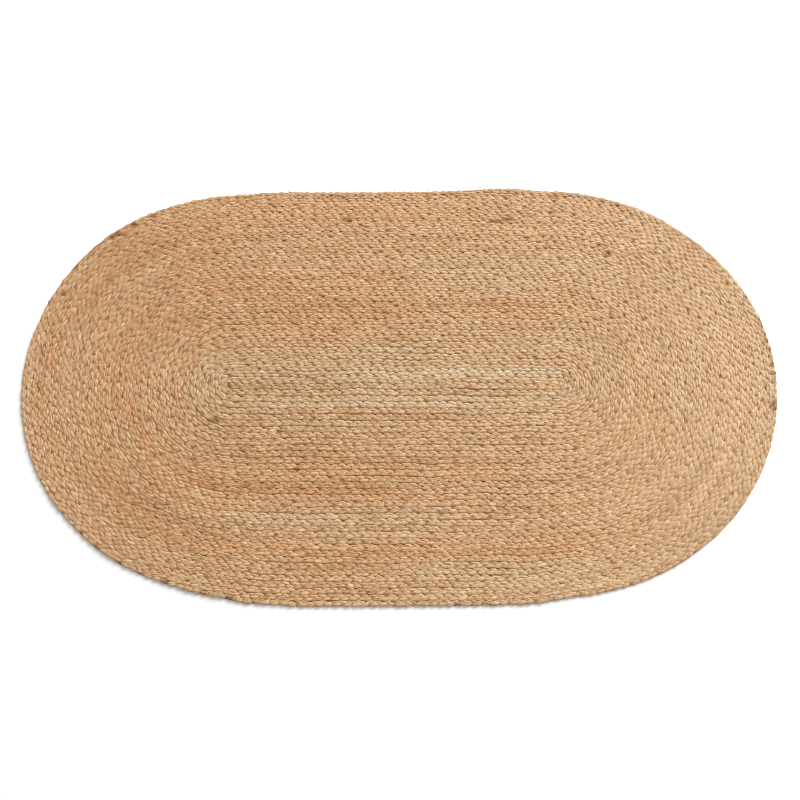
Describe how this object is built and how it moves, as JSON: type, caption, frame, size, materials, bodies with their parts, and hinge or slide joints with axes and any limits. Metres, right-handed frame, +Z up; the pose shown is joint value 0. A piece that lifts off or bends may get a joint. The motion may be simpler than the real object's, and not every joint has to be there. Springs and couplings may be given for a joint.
{
  "type": "oval jute rug",
  "caption": "Flat oval rug wound from one long jute braid in a spiral and sewn edge to edge, to lie on a floor.",
  "frame": {"origin": "middle of the rug's underside, at the bottom centre of its bounding box", "axes": "+X along the rug's length, +Y towards the long side where the braid ends, +Z up out of the braided face"},
  "size_m": [1.6, 0.906, 0.009],
  "materials": {
    "jute": "rough natural jute braid, slightly glossy fibres"
  },
  "bodies": {
    "root": {"rug": "jute"}
  },
  "joints": []
}
